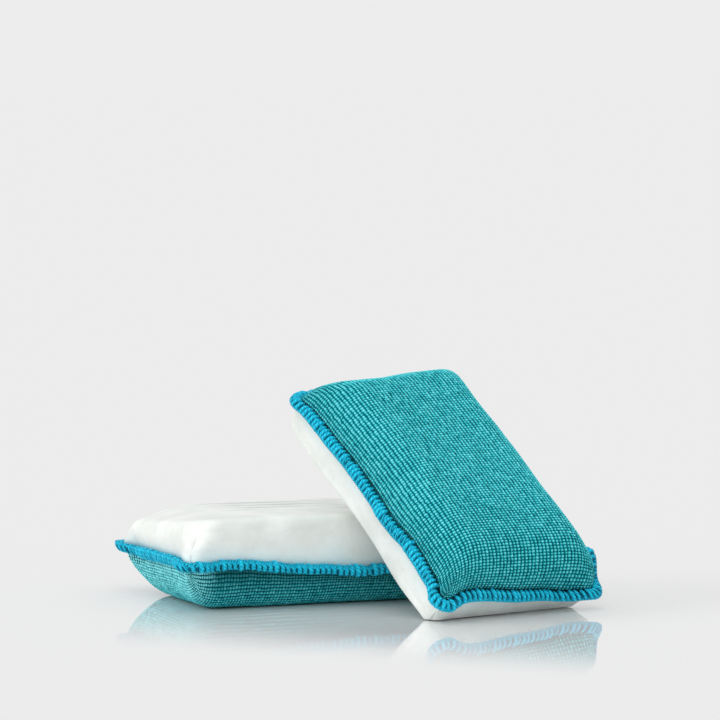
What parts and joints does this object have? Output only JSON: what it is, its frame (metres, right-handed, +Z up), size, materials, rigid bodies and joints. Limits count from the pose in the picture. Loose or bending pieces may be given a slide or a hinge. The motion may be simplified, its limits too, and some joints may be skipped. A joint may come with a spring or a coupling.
{
  "type": "magnetic glass cleaner",
  "caption": "Magnetic glass cleaner: soft two-sided pads with ribbed microfibre and smooth white faces, stitched edges and sealed magnets, one pad leaning on the other.",
  "frame": {"origin": "centre of the lying pad's flat microfibre underside, on the surface the pads rest on", "axes": "+Z up; +X along the lying pad's long side; +Y away from the side that the leaning pad rests on"},
  "size_m": [0.1718, 0.1616, 0.0994],
  "materials": {
    "microfibre": "ribbed looped pile",
    "smooth_cloth": "satin, slightly translucent",
    "edge_thread": "overlock thread",
    "foam": "open-cell foam",
    "case_plastic": "matte",
    "gasket_rubber": "matte",
    "magnet_plating": "nickel plated",
    "yoke_steel": "zinc plated"
  },
  "bodies": {
    "wet_half": {"wet_microfibre_face": "microfibre", "wet_smooth_face": "smooth_cloth", "wet_edge_stitching": "edge_thread", "wet_scrub_foam": "foam", "wet_smooth_foam": "foam", "wet_magnet_case": "case_plastic", "wet_case_gasket": "gasket_rubber", "wet_case_lid": "case_plastic", "wet_left_magnet": "magnet_plating", "wet_right_magnet": "magnet_plating", "wet_steel_yoke": "yoke_steel"},
    "dry_half": {"dry_microfibre_face": "microfibre", "dry_smooth_face": "smooth_cloth", "dry_edge_stitching": "edge_thread", "dry_scrub_foam": "foam", "dry_smooth_foam": "foam", "dry_magnet_case": "case_plastic", "dry_case_gasket": "gasket_rubber", "dry_case_lid": "case_plastic", "dry_left_magnet": "magnet_plating", "dry_right_magnet": "magnet_plating", "dry_steel_yoke": "yoke_steel"}
  },
  "joints": [
    {"name": "dry_half_lift", "type": "slide", "parent": "wet_half", "child": "dry_half", "axis": [0, 0, 1], "range_m": [0, 0.12]}
  ]
}
